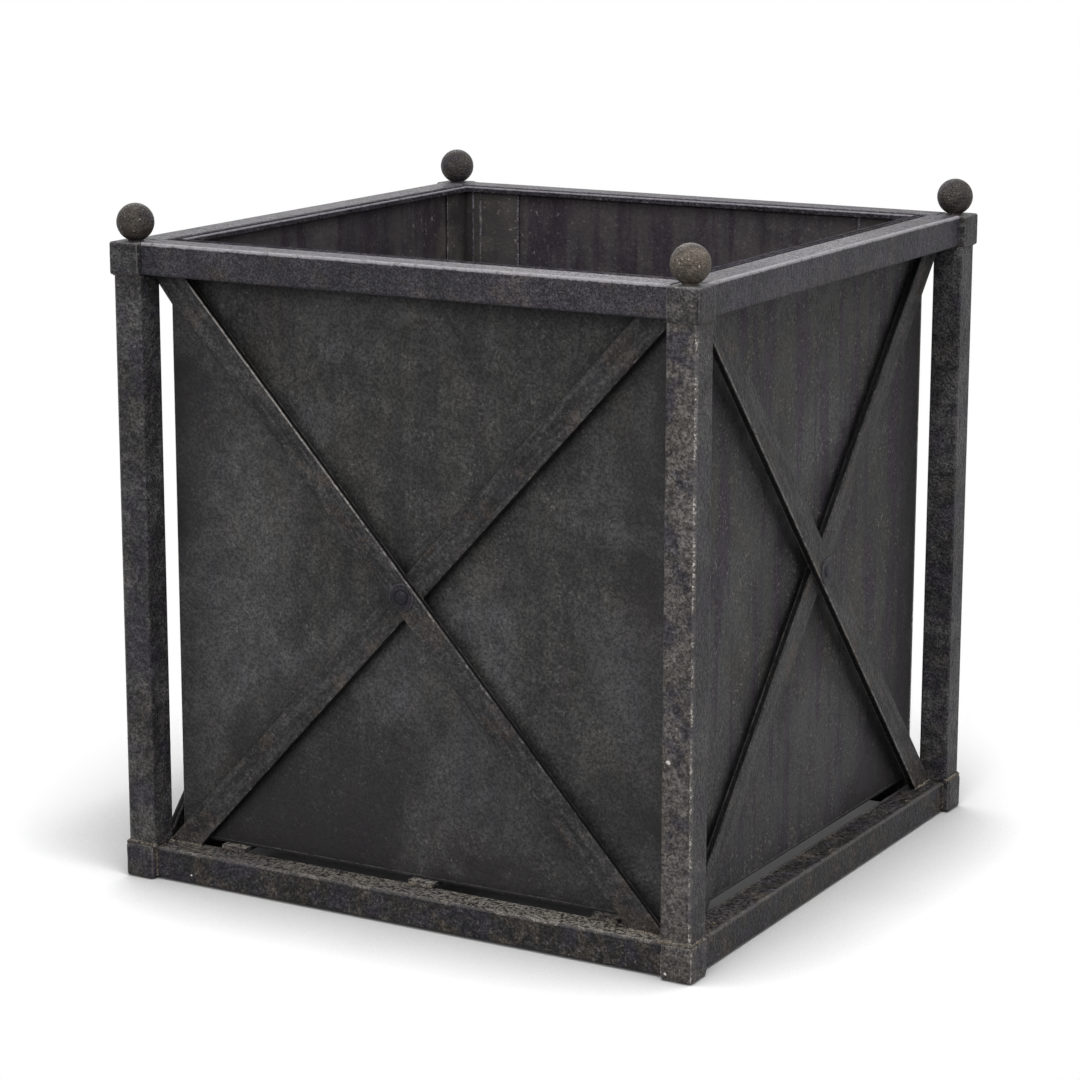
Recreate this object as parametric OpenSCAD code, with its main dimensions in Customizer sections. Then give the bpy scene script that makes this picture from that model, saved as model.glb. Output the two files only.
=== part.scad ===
// Square garden planter: a tube cage with crossed bars and a loose sheet liner.
// Millimetres, +Z up, origin at the middle of the ground under the feet.

/* [Overall] */
// Width and depth over the rails
frame_width = 500; // [400:1:800]
// Height from the rails' underside to the top rails' top
frame_height = 512; // [400:1:800]
// Height of the bottom rails above the ground
ground_gap = 1.5; // [0.5:0.1:8]

/* [Square tube] */
// Side of the square tube
tube = 25.4; // [20:0.1:32]
// Wall of the tube
tube_wall = 2; // [1.2:0.1:3]
// Radius of the tube's outside edges
tube_round = 1.8; // [1:0.1:4]
// How far the posts stand out from the rails
post_proud = 3.25; // [2:0.05:6]

/* [Caps and feet] */
// How much wider a corner block is than the tube
block_extra = 1.6; // [1:0.1:6]
// How far a corner block stands out from its post
block_proud = 2.5; // [1:0.1:4]
// How far a cap reaches below its rails
cap_drop = 0.6; // [0.5:0.1:15]
// How far a foot reaches above its rails
foot_rise = 2; // [0.5:0.1:15]
// Radius of a cap's edges
cap_round = 2; // [0.5:0.1:3]
// Radius of a foot's edges
foot_round = 3; // [0.5:0.1:4]
// Length of the spigot inside the post
spigot_length = 14; // [8:0.5:30]
// Play of the spigot in the post, all sides together
spigot_play = 0.5; // [0.2:0.1:1]

/* [Ball finials] */
// Diameter of the balls
ball_diameter = 29.6; // [20:0.1:36]
// How deep a ball sinks into its cap's top
ball_sink = 0.5; // [0.2:0.1:2]
// Radius of the collar under a ball
collar_radius = 6.5; // [5:0.1:9]
// Height of the collar under a ball
collar_height = 1.4; // [0.8:0.1:3]
// Diameter of the stud under a ball
stud_diameter = 8; // [5:0.5:9]
// Length of the stud under a ball
stud_length = 14; // [8:0.5:20]
// Play of the stud in its bore
stud_play = 0.3; // [0.2:0.1:0.6]

/* [Cross bars] */
// Width of the flat bars
bar_width = 22.5; // [15:0.5:35]
// Thickness of the flat bars
bar_thick = 6.4; // [3:0.1:8]
// Front and back: inset of the front bar's top end
front_fore_top = 13.5; // [-8:0.1:40]
// Front and back: inset of the front bar's foot
front_fore_foot = 19; // [-8:0.1:40]
// Front and back: inset of the rear bar's top end
front_rear_top = 18; // [-8:0.1:40]
// Front and back: inset of the rear bar's foot
front_rear_foot = 13; // [-8:0.1:40]
// Sides: inset of the front bar's top end
side_fore_top = 26.3; // [-8:0.1:40]
// Sides: inset of the front bar's foot
side_fore_foot = 12.8; // [-8:0.1:40]
// Sides: inset of the rear bar's top end
side_rear_top = 8.6; // [-8:0.1:40]
// Sides: inset of the rear bar's foot
side_rear_foot = 26.3; // [-8:0.1:40]

/* [Rivets] */
// Diameter of the rivets' shanks
rivet_diameter = 6; // [4:0.5:8]
// Play of a rivet in its holes
rivet_play = 0.3; // [0.2:0.1:0.6]
// Diameter of the flat collars under the rivets' domes
disc_diameter = 22; // [12:0.5:30]
// Thickness of the flat collars
disc_thick = 1; // [0.6:0.1:2.5]
// Diameter of the rivets' domes
head_diameter = 10; // [9:0.5:12]
// Height of the rivets' domes above their collars
head_height = 1.4; // [1:0.1:3]
// Height of the flattened tails, towards the liner
tail_height = 0.8; // [0.4:0.1:1.2]

/* [Base straps] */
// Width of the straps
strap_width = 23; // [15:0.5:40]
// Thickness of the straps
strap_thick = 4; // [2.5:0.1:6]
// Distance of the outer straps from the middle
strap_spacing = 168.5; // [120:0.5:185]
// Sideways shift of the middle strap
strap_shift = 7; // [-20:0.5:20]
// How far the straps reach onto the bottom rails
strap_bearing = 4; // [3:0.5:20]

/* [Liner] */
// Gap between the liner's walls and the rails
liner_gap = 3.2; // [1.6:0.1:8]
// Thickness of the liner's sheet
sheet = 2; // [1:0.1:3]
// Height of the liner's rim above the rails
rim_level = 0; // [-10:0.5:15]
// Width of the rim
rim_width = 7.5; // [4.2:0.1:8]
// Height of the rim
rim_height = 5; // [4.2:0.1:10]
// How far the rim stands out from the walls
rim_proud = 0.4; // [0.4:0.1:1.2]
// Play of the walls in the rim's groove
groove_play = 0.2; // [0.1:0.05:0.4]
// Long leg of the corner angles, on the front and back walls
angle_long = 55; // [30:1:80]
// Short leg of the corner angles, on the side walls
angle_short = 33; // [20:1:80]
// Thickness of the corner angles
angle_thick = 1.5; // [1:0.1:3]
// Diameter of the drain holes
drain_diameter = 12; // [6:0.5:25]
// Distance of the drain holes from the middle, sideways
drain_x = 88; // [60:1:95]
// Distance of the drain holes from the middle, front to back
drain_y = 110; // [40:1:150]

/* [Hidden] */
fine = 96;
edge = frame_width / 2;
rail_in = edge - tube;
post_at = edge + post_proud - tube / 2;
post_in = post_at - tube / 2;
block = tube + block_extra;
block_out = edge + post_proud + block_proud;
block_at = block_out - block / 2;
block_in = block_out - block;
low_top = ground_gap + tube;
cage_top = ground_gap + frame_height;
high_low = cage_top - tube;
foot_height = low_top + foot_rise;
cap_height = tube + cap_drop;
post_low = foot_height;
post_high = cage_top - cap_height;
bore_side = tube - 2 * tube_wall;
spigot = bore_side - spigot_play;
ball_radius = ball_diameter / 2;
ball_z = ball_radius - ball_sink;
bore_floor = 1;
rear_y = rail_in;
fore_y = rail_in + bar_thick;
bars_out = rail_in + 2 * bar_thick;
head_sphere = (head_diameter * head_diameter / 4 + head_height * head_height)
    / (2 * head_height);
liner_out = rail_in - liner_gap;
liner_in = liner_out - sheet;
liner_low = low_top + strap_thick;
floor_top = liner_low + sheet;
rim_top = cage_top + rim_level;
rim_out = liner_out + rim_proud;
rim_in = rim_out - rim_width;
rim_low = rim_top - rim_height;
rim_round = min(rim_width, rim_height) / 2 - 0.3;
wall_top = rim_top - rim_height / 3;
mitre_gap = 0.2;
past = 1;

steel = [0.23, 0.22, 0.22];
steel_top = [0.30, 0.29, 0.29];
steel_bar = [0.19, 0.18, 0.18];
ball_tone = [0.36, 0.33, 0.30];
sheet_tone = [0.16, 0.15, 0.15];
rim_tone = [0.42, 0.41, 0.41];

// Helpers

module round_square(side, radius) {
    square([side, side - 2 * radius], center = true);
    square([side - 2 * radius, side], center = true);
    for (sx = [-1, 1], sy = [-1, 1])
        translate([sx * (side / 2 - radius), sy * (side / 2 - radius)])
            circle(r = radius, $fn = fine);
}

module tube_section() {
    difference() {
        round_square(tube, tube_round);
        square(bore_side, center = true);
    }
}

// A block with all its edges rounded, standing on z = 0
module round_block(side, height, radius) {
    intersection() {
        linear_extrude(height)
            round_square(side, radius);
        for_profile(side, height, radius);
        rotate([0, 0, 90])
            for_profile(side, height, radius);
    }
}

// The block's side view, drawn through it
module for_profile(side, height, radius) {
    translate([0, side, 0])
        rotate([90, 0, 0])
            linear_extrude(2 * side)
                side_view(side, height, radius);
}

module side_view(side, height, radius) {
    translate([-side / 2, radius])
        square([side, height - 2 * radius]);
    translate([-side / 2 + radius, 0])
        square([side - 2 * radius, height]);
    for (sx = [-1, 1], z = [radius, height - radius])
        translate([sx * (side / 2 - radius), z])
            circle(r = radius, $fn = fine);
}

// Where a line from its foot to its top crosses the other one
function crossing(foot_a, top_a, foot_b, top_b) =
    (foot_a - foot_b) / ((top_b - foot_b) - (top_a - foot_a));

// Frame

module post(sx, sy) {
    color(steel)
        translate([sx * post_at, sy * post_at, post_low])
            linear_extrude(post_high - post_low)
                tube_section();
}

// A rail on the front, turned to its side; its inner ends are mitred to the neighbours
module rail(turn, z, tone) {
    color(tone)
        rotate([0, 0, turn])
            intersection() {
                translate([-block_in, -edge + tube / 2, z + tube / 2])
                    rotate([90, 0, 90])
                        linear_extrude(2 * block_in)
                            tube_section();
                translate([0, 0, z - past])
                    linear_extrude(tube + 2 * past)
                        polygon([[0, -mitre_gap],
                                 [-frame_width, -frame_width - mitre_gap],
                                 [frame_width, -frame_width - mitre_gap]]);
            }
}

module corner_cap(sx, sy) {
    color(steel_top)
        difference() {
            union() {
                translate([sx * block_at, sy * block_at, post_high])
                    round_block(block, cap_height, cap_round);
                translate([sx * post_at, sy * post_at, post_high - spigot_length])
                    linear_extrude(spigot_length + past)
                        square(spigot, center = true);
            }
            translate([sx * post_at, sy * post_at, cage_top - stud_length - bore_floor])
                cylinder(d = stud_diameter + stud_play, h = stud_length + bore_floor + past,
                         $fn = fine);
        }
}

module foot(sx, sy) {
    color(steel)
        union() {
            translate([sx * block_at, sy * block_at, 0])
                round_block(block, foot_height, foot_round);
            translate([sx * post_at, sy * post_at, foot_height - past])
                linear_extrude(spigot_length + past)
                    square(spigot, center = true);
        }
}

module finial(sx, sy) {
    color(ball_tone)
        translate([sx * post_at, sy * post_at, cage_top])
            union() {
                difference() {
                    translate([0, 0, ball_z])
                        sphere(r = ball_radius, $fn = fine);
                    translate([0, 0, -ball_radius])
                        cube(2 * ball_radius, center = true);
                }
                cylinder(r1 = collar_radius, r2 = collar_radius - collar_height,
                         h = collar_height, $fn = fine);
                translate([0, 0, -stud_length])
                    cylinder(d = stud_diameter, h = stud_length + collar_height / 2,
                             $fn = fine);
            }
}

// A cross bar on the front: it stands on the low rail and meets the high one
module bar(turn, foot_x, top_x, inner_y, hole_x, hole_z) {
    rise = high_low - low_top;
    run = top_x - foot_x;
    span = sqrt(rise * rise + run * run);
    lean = atan2(rise, run);
    color(steel_bar)
        rotate([0, 0, turn])
            translate([0, -inner_y, 0])
                rotate([90, 0, 0])
                    linear_extrude(bar_thick)
                        difference() {
                            intersection() {
                                translate([foot_x, low_top])
                                    rotate(lean)
                                        translate([-span / 4, -bar_width / 2])
                                            square([span * 1.5, bar_width]);
                                translate([-post_in, low_top])
                                    square([2 * post_in, rise]);
                            }
                            translate([hole_x, hole_z])
                                circle(d = rivet_diameter + rivet_play, $fn = fine);
                        }
}

module bar_pair(turn, fore, fore_foot, fore_top, rear_foot, rear_top) {
    foot_f = post_in - fore_foot;
    top_f = -post_in + fore_top;
    foot_r = -post_in + rear_foot;
    top_r = post_in - rear_top;
    t = crossing(foot_f, top_f, foot_r, top_r);
    hole_x = foot_f + t * (top_f - foot_f);
    hole_z = low_top + t * (high_low - low_top);
    if (fore == 1)
        bar(turn, foot_f, top_f, fore_y, hole_x, hole_z);
    if (fore == 0)
        bar(turn, foot_r, top_r, rear_y, hole_x, hole_z);
    if (fore == 2)
        rivet(turn, hole_x, hole_z);
}

module front_bar(turn, fore) {
    bar_pair(turn, fore, front_fore_foot, front_fore_top, front_rear_foot, front_rear_top);
}

module side_bar(turn, fore) {
    bar_pair(turn, fore, side_fore_foot, side_fore_top, side_rear_foot, side_rear_top);
}

// A domed rivet on a flat collar, head outwards, its flattened tail towards the liner
module rivet(turn, x, z) {
    color(ball_tone)
        rotate([0, 0, turn])
            translate([x, -rear_y, z])
                rotate([90, 0, 0])
                    union() {
                        translate([0, 0, -tail_height])
                            cylinder(r = rivet_diameter / 2 + 1.5, h = tail_height,
                                     $fn = fine);
                        translate([0, 0, -tail_height / 2])
                            cylinder(d = rivet_diameter,
                                     h = 2 * bar_thick + (tail_height + disc_thick) / 2,
                                     $fn = fine);
                        translate([0, 0, 2 * bar_thick])
                            cylinder(d = disc_diameter, h = disc_thick, $fn = fine);
                        translate([0, 0, 2 * bar_thick + disc_thick])
                            intersection() {
                                translate([0, 0, head_height - head_sphere])
                                    sphere(r = head_sphere, $fn = fine);
                                cylinder(d = head_diameter, h = head_height + past,
                                         $fn = fine);
                            }
                    }
}

module cross_rivets() {
    front_bar(0, 2);
    side_bar(90, 2);
    front_bar(180, 2);
    side_bar(270, 2);
}

module strap(x) {
    length = 2 * (rail_in + strap_bearing);
    color(steel_bar)
        translate([x - strap_width / 2, -length / 2, low_top])
            cube([strap_width, length, strap_thick]);
}

// Liner

module liner_floor() {
    color(sheet_tone)
        difference() {
            translate([-liner_out, -liner_out, liner_low])
                cube([2 * liner_out, 2 * liner_out, sheet]);
            for (sx = [-1, 1], sy = [-1, 1])
                translate([sx * drain_x, sy * drain_y, liner_low - past])
                    cylinder(d = drain_diameter, h = sheet + 2 * past, $fn = fine);
        }
}

// The front and back walls run full width, the side walls fit between them
module liner_wall(turn, reach) {
    color(sheet_tone)
        rotate([0, 0, turn])
            translate([-reach, -liner_out, floor_top])
                cube([2 * reach, sheet, wall_top - floor_top]);
}

module rim_section() {
    difference() {
        union() {
            translate([rim_in, rim_low])
                square([rim_width, rim_height - rim_round]);
            translate([rim_in + rim_round, rim_low])
                square([rim_width - 2 * rim_round, rim_height]);
            for (x = [rim_in + rim_round, rim_out - rim_round])
                translate([x, rim_top - rim_round])
                    circle(r = rim_round, $fn = fine);
        }
        translate([liner_in - groove_play / 2, rim_low - past])
            square([sheet + groove_play, wall_top - rim_low + past]);
    }
}

// A folded edge strip over a wall's top, mitred at the corners
module liner_rim(turn) {
    color(rim_tone)
        rotate([0, 0, turn])
            intersection() {
                translate([rim_out, 0, 0])
                    rotate([90, 0, -90])
                        linear_extrude(2 * rim_out)
                            rim_section();
                translate([0, 0, rim_low - past])
                    linear_extrude(rim_height + 2 * past)
                        polygon([[0, -mitre_gap],
                                 [-frame_width, -frame_width - mitre_gap],
                                 [frame_width, -frame_width - mitre_gap]]);
            }
}

module liner_angle(sx, sy) {
    color(sheet_tone)
        scale_sign(sx, sy)
            translate([0, 0, floor_top])
                linear_extrude(rim_low - floor_top - mitre_gap)
                    polygon([[liner_in, liner_in],
                             [liner_in - angle_long, liner_in],
                             [liner_in - angle_long, liner_in - angle_thick],
                             [liner_in - angle_thick, liner_in - angle_thick],
                             [liner_in - angle_thick, liner_in - angle_short],
                             [liner_in, liner_in - angle_short]]);
}

module scale_sign(sx, sy) {
    mirror([sx < 0 ? 1 : 0, 0, 0])
        mirror([0, sy < 0 ? 1 : 0, 0])
            children();
}

post(-1, -1);  // post_fl
post(1, -1);  // post_fr
post(-1, 1);  // post_bl
post(1, 1);  // post_br
rail(0, high_low, steel_top);  // top_rail_front
rail(90, high_low, steel_top);  // top_rail_right
rail(180, high_low, steel_top);  // top_rail_back
rail(270, high_low, steel_top);  // top_rail_left
rail(0, ground_gap, steel);  // low_rail_front
rail(90, ground_gap, steel);  // low_rail_right
rail(180, ground_gap, steel);  // low_rail_back
rail(270, ground_gap, steel);  // low_rail_left
corner_cap(-1, -1);  // cap_fl
corner_cap(1, -1);  // cap_fr
corner_cap(-1, 1);  // cap_bl
corner_cap(1, 1);  // cap_br
foot(-1, -1);  // foot_fl
foot(1, -1);  // foot_fr
foot(-1, 1);  // foot_bl
foot(1, 1);  // foot_br
finial(-1, -1);  // finial_fl
finial(1, -1);  // finial_fr
finial(-1, 1);  // finial_bl
finial(1, 1);  // finial_br
front_bar(0, 1);  // bar_fore_front
side_bar(90, 1);  // bar_fore_right
front_bar(180, 1);  // bar_fore_back
side_bar(270, 1);  // bar_fore_left
front_bar(0, 0);  // bar_rear_front
side_bar(90, 0);  // bar_rear_right
front_bar(180, 0);  // bar_rear_back
side_bar(270, 0);  // bar_rear_left
cross_rivets();
strap(-strap_spacing);  // strap_left
strap(strap_shift);  // strap_middle
strap(strap_spacing);  // strap_right
liner_floor();
liner_wall(0, liner_out);  // liner_wall_front
liner_wall(90, liner_in);  // liner_wall_right
liner_wall(180, liner_out);  // liner_wall_back
liner_wall(270, liner_in);  // liner_wall_left
liner_rim(0);  // liner_rim_front
liner_rim(90);  // liner_rim_right
liner_rim(180);  // liner_rim_back
liner_rim(270);  // liner_rim_left
liner_angle(-1, -1);  // liner_angle_fl
liner_angle(1, -1);  // liner_angle_fr
liner_angle(-1, 1);  // liner_angle_bl
liner_angle(1, 1);  // liner_angle_br
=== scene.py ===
import math
import random
from types import SimpleNamespace

import bmesh
import bpy
from mathutils import Matrix, Vector, noise


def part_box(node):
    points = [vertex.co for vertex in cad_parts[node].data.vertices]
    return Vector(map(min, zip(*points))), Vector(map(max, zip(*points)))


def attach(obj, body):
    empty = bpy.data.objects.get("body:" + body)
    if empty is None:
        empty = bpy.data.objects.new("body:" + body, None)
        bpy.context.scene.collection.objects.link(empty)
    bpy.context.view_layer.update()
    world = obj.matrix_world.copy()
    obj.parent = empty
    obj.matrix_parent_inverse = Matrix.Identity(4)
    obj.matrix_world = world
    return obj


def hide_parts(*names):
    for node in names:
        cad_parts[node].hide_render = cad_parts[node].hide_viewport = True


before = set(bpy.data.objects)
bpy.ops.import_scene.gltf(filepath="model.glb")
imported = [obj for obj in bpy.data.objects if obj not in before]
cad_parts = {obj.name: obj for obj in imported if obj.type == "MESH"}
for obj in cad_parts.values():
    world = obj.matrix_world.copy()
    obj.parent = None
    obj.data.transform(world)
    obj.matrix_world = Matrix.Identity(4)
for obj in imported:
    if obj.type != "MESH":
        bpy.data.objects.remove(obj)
random.seed(7)


def writeSize():
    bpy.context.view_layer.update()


writeSize()
print("frame loaded")

cornerTone = {"fl": 0.3, "fr": 1.0, "bl": 0.3, "br": 0.1}  # how brown each corner is
ballTone = {"fl": 0.3, "fr": 1.0, "bl": 0.1, "br": 0.1}
corners = {"fl": (-1, -1), "fr": (1, -1), "bl": (-1, 1), "br": (1, 1)}
sides = {"front": 0, "right": 90, "back": 180, "left": 270}  # turn about Z, in degrees


# colours and nodes


def linear(hexColour):
    values = []
    for start in (1, 3, 5):
        part = int(hexColour[start:start + 2], 16) / 255
        values.append(part / 12.92 if part <= 0.04045 else ((part + 0.055) / 1.055) ** 2.4)
    return (values[0], values[1], values[2], 1.0)


def feedInput(tree, socket, value):  # a node stands for its first output
    if isinstance(value, bpy.types.Node):
        value = value.outputs[0]
    if isinstance(value, bpy.types.NodeSocket):
        tree.links.new(value, socket)
    else:
        socket.default_value = value


def addNode(tree, kind, values=None):  # values: its settings, inputs and links
    node = tree.nodes.new(kind)
    for key, value in (values or {}).items():
        if isinstance(key, str) and hasattr(node, key):
            setattr(node, key, value)
        else:
            feedInput(tree, node.inputs[key], value)
    return node


def emptyTree(owner):
    owner.use_nodes = True
    owner.node_tree.nodes.clear()
    return owner.node_tree


def addNoise(tree, place, size, detail=4.0, roughness=0.55, distortion=0.0):
    values = {"Scale": 1000 / size, "Detail": detail, "Roughness": roughness,
              "Distortion": distortion, "Vector": place}  # features are about size mm wide
    return addNode(tree, "ShaderNodeTexNoise", values).outputs["Fac"]


def addRange(tree, source, low, high, newLow=0.0, newHigh=1.0):
    values = {"interpolation_type": "SMOOTHSTEP", "Value": source, "From Min": low,
              "From Max": high, "To Min": newLow, "To Max": newHigh}
    return addNode(tree, "ShaderNodeMapRange", values).outputs["Result"]


def addMath(tree, operation, first, second):
    return addNode(tree, "ShaderNodeMath", {"operation": operation, 0: first, 1: second})


def addProduct(tree, first, *others):
    for other in others:
        first = addMath(tree, "MULTIPLY", first, other)
    return first


def addVector(tree, operation, first, second=(0, 0, 0)):
    node = addNode(tree, "ShaderNodeVectorMath", {"operation": operation, 0: first, 1: second})
    measures = ("LENGTH", "DISTANCE", "DOT_PRODUCT")
    return node.outputs["Value" if operation in measures else "Vector"]


def addMix(tree, factor, first, second, blend="MIX"):
    values = {"data_type": "RGBA", "blend_type": blend, 0: factor, 6: first, 7: second}
    return addNode(tree, "ShaderNodeMix", values).outputs[2]


def splitPlace(tree, vector):
    return addNode(tree, "ShaderNodeSeparateXYZ", {0: vector}).outputs


def addAttribute(tree, name, output="Fac"):
    return addNode(tree, "ShaderNodeAttribute", {"attribute_name": name}).outputs[output]


# weathered steel: each layer takes the paint below it and returns the new colour

noiseShapes = {  # detail, roughness and distortion
    "blotch": (3.0, 0.6, 0.6), "stain": (5.0, 0.65, 0.3), "mottle": (5.0, 0.7),
    "grain": (2.0, 0.7), "speck": (2.0, 0.5, 0.4), "streak": (4.0, 0.6)}


def surfaceFields(tree, look):  # the places, marks and noises that the layers share
    place = addNode(tree, "ShaderNodeTexCoord").outputs["Object"]
    normal = addNode(tree, "ShaderNodeNewGeometry").outputs["Normal"]
    tall = addNode(tree, "ShaderNodeMapping", {
        "Scale": (1, 1, 0.1), "Vector": addAttribute(tree, "lay", "Vector")})
    fields = {name: addNoise(tree, tall if name == "streak" else place, look[name + "Size"],
                             *shape) for name, shape in noiseShapes.items()}
    return SimpleNamespace(
        place=place, normal=normal, height=splitPlace(tree, place)["Z"],
        upward=addRange(tree, splitPlace(tree, normal)["Z"], 0.75, 1.0),
        tone=addAttribute(tree, "tone"), wear=addAttribute(tree, "wear"), **fields)


def byTone(tree, at, atNone, atFull):
    return addRange(tree, at.tone, 0.0, 1.0, atNone, atFull)


def paintColour(tree, look, at):  # blotches, streaks, warm stains and cool patches
    colour = addMix(tree, addRange(tree, at.blotch, 0.42, 0.58), linear(look["base"]),
                    linear(look["pale"]))
    flow = addProduct(tree, addRange(tree, at.streak, 0.45, 0.6), look["streakAmount"])
    colour = addMix(tree, flow, colour, linear(look["streak"]))
    low = addRange(tree, at.height, 0.0, 0.22, look["lowStain"], 0.0)
    warmth = addMath(tree, "ADD", low, addProduct(tree, at.tone, look["toneStain"]))
    warmth = addRange(tree, addMath(tree, "ADD", at.stain, warmth), 0.5, 0.66)
    amount = look["stainAmount"]
    warmth = addProduct(tree, warmth, byTone(tree, at, look["warmLow"] * amount, amount))
    colour = addMix(tree, warmth, colour, linear(look["stain"]))
    cool = at.streak if look["streakAmount"] else at.stain
    cool = addProduct(tree, addRange(tree, cool, 0.5, 0.42), look["coolAmount"],
                      byTone(tree, at, look["coolLow"], 1.0))
    return addMix(tree, cool, colour, linear(look["cool"]))


def grainColour(tree, look, at, colour):
    for field, low, high, amount, lift in ((at.mottle, 0.4, 0.6, look["mottleAmount"], True),
                                           (at.grain, 0.36, 0.64, look["grainAmount"], False)):
        depth = addRange(tree, field, low, high, 1 - amount, 1 + amount)
        if lift:
            depth = addProduct(tree, depth, byTone(tree, at, 1.0, look["toneLift"]))
        colour = addMix(tree, 1.0, colour, depth, "MULTIPLY")
    return colour


def paleSpecks(tree, look, at):
    return addProduct(tree, addRange(tree, at.speck, look["speckFrom"], 0.74),
                      addRange(tree, at.mottle, 0.44, 0.56), look["speckAmount"],
                      byTone(tree, at, 0.5, 1.0),
                      addRange(tree, at.height, 0.12, 0.03, 1.0, look["lowSpeck"]))


def alongWall(tree, at):  # how far across its wall a place is from the middle
    part = splitPlace(tree, at.place)
    return addMath(tree, "MINIMUM", addMath(tree, "ABSOLUTE", part["X"], 0),
                   addMath(tree, "ABSOLUTE", part["Y"], 0))


def cornerStain(tree, look, at, colour):  # a pale bloom and white specks in the corners
    along = alongWall(tree, at)
    bloom = addProduct(tree, addRange(tree, along, 0.15, 0.19),
                       addRange(tree, at.mottle, 0.4, 0.6, 0.2, 0.8))
    colour = addMix(tree, bloom, colour, linear(look["insideStain"]))
    speck = addNoise(tree, at.place, 3.5, 2.0, 0.5, 0.4)
    white = addProduct(tree, addRange(tree, speck, 0.66, 0.74),
                       addRange(tree, along, 0.08, 0.2, 0.1, 0.8))
    return addMix(tree, white, colour, linear(look["speck"]))


def insideColour(tree, look, at, colour):  # painted shade for faces turned to the middle of the box, mottled by damp streaks and stains
    flat = addVector(tree, "MULTIPLY", at.place, (1, 1, 0))
    facing = addVector(tree, "DOT_PRODUCT", flat, at.normal)
    within = addRange(tree, facing, -0.02, -0.1, 0.0, 0.75)
    damp = addMath(tree, "ADD", addProduct(tree, at.streak, 0.5),
                   addProduct(tree, at.stain, 0.5))
    damp = addMix(tree, addRange(tree, damp, 0.44, 0.58), linear(look["inside"]),
                  linear(look["insidePale"]))
    if "grime" in look:
        damp = cornerStain(tree, look, at, damp)
    return addMix(tree, within, colour, damp)


def edgeGrime(tree, look, at, colour):  # darker towards a wall's sides and foot
    grime = addMath(tree, "MAXIMUM", addRange(tree, alongWall(tree, at), 0.15, 0.23),
                    addRange(tree, at.height, 0.2, 0.0))
    grime = addProduct(tree, grime, addRange(tree, at.blotch, 0.6, 0.4, 0.45, 1.0))
    return addMix(tree, grime, colour, linear(look["grime"]))


def wornEdges(tree, look, at, colour):  # bare on worn edges, and a painted highlight on the right base rail's inner edge; painted shade in the gap colour where the wear is negative
    breaks = addNoise(tree, at.place, look["wearSize"], 4.0, 0.75)
    bare = addRange(tree, addMath(tree, "ADD", addProduct(tree, at.wear, 0.8), breaks), 1.0, 1.32)
    colour = addMix(tree, addProduct(tree, bare, look["wearAmount"]), colour,
                    linear(look["worn"]))
    return addMix(tree, addRange(tree, at.wear, -0.3, -0.9), colour, linear(look["gap"]))


def creviceShade(tree, look, at, colour):
    near = addNode(tree, "ShaderNodeAmbientOcclusion",
                   {"Distance": look["crevice"], "samples": 4}).outputs["AO"]
    return addMix(tree, 1.0, colour, addRange(tree, near, 0.5, 0.9, 0.35, 1.0), "MULTIPLY")


# chips, and painted glints: bright dots along the worn arrises
def edgeChips(tree, look, at, colour):
    flake = addNoise(tree, at.place, 1.5, 2.0, 0.5, 0.4)
    chip = addProduct(tree, addRange(tree, flake, 0.5, 0.58), addRange(tree, at.wear, 0.85, 1.0),
                      addRange(tree, at.stain, 0.47, 0.56),
                      addProduct(tree, at.tone, look["chipAmount"]))
    return addMix(tree, chip, colour, linear(look["chip"]))


# pale dust on upward faces; on the rail tops it is also a painted sheen, and on the right ledge
# less of it paints shade
def topDust(tree, look, at, colour):
    dust = addProduct(tree, at.upward, addRange(tree, at.grain, 0.43, 0.57, 0.05, 1.0),
                      look["dustAmount"], byTone(tree, at, look["dustLow"], 1.0))
    return addMix(tree, dust, colour, linear(look["dust"]))


def singleChips(tree, look, at, colour):
    for spot, size in look["chipSpots"]:
        away = addMath(tree, "ADD", addVector(tree, "DISTANCE", at.place, spot),
                       addProduct(tree, at.grain, size * 2.4))
        colour = addMix(tree, addRange(tree, away, size * 2.1, size * 1.6), colour,
                        linear(look["chip"]))
    return colour


def addRelief(tree, look, at, dots):
    relief = addNoise(tree, at.place, look["reliefSize"], 3.0, 0.6)
    rise = addMath(tree, "ADD", addProduct(tree, at.grain, 0.45), addProduct(tree, relief, 0.9))
    rise = addMath(tree, "ADD", rise, addProduct(tree, dots, 0.25))
    return addNode(tree, "ShaderNodeBump", {"Strength": look["bump"], "Distance": 0.003,
                                           "Height": rise})


def steelSurface(name, common, **changes):
    look = dict(common, **changes)
    material = bpy.data.materials.new(name)
    material.diffuse_color = linear(look["base"])
    tree = emptyTree(material)
    at = surfaceFields(tree, look)
    dots = paleSpecks(tree, look, at)
    colour = grainColour(tree, look, at, paintColour(tree, look, at))
    colour = addMix(tree, dots, colour, linear(look["speck"]))
    for key, layer in (("inside", insideColour), ("grime", edgeGrime), ("worn", wornEdges),
                       ("crevice", creviceShade), ("chip", edgeChips), ("dust", topDust),
                       ("chipSpots", singleChips)):
        if key in look:
            colour = layer(tree, look, at, colour)
    rough = addProduct(tree, addRange(tree, at.mottle, 0.4, 0.6, look["roughLow"],
                                      look["roughHigh"]),
                       addRange(tree, at.upward, 0, 1, 1, look["topRough"]))
    shine = addRange(tree, at.upward, 0, 1, look["specular"], look["topSpecular"])
    shader = addNode(tree, "ShaderNodeBsdfPrincipled", {
        "Base Color": colour, "Roughness": rough, "Specular IOR Level": shine,
        "Normal": addRelief(tree, look, at, dots)})
    addNode(tree, "ShaderNodeOutputMaterial", {"Surface": shader})
    return material


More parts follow.
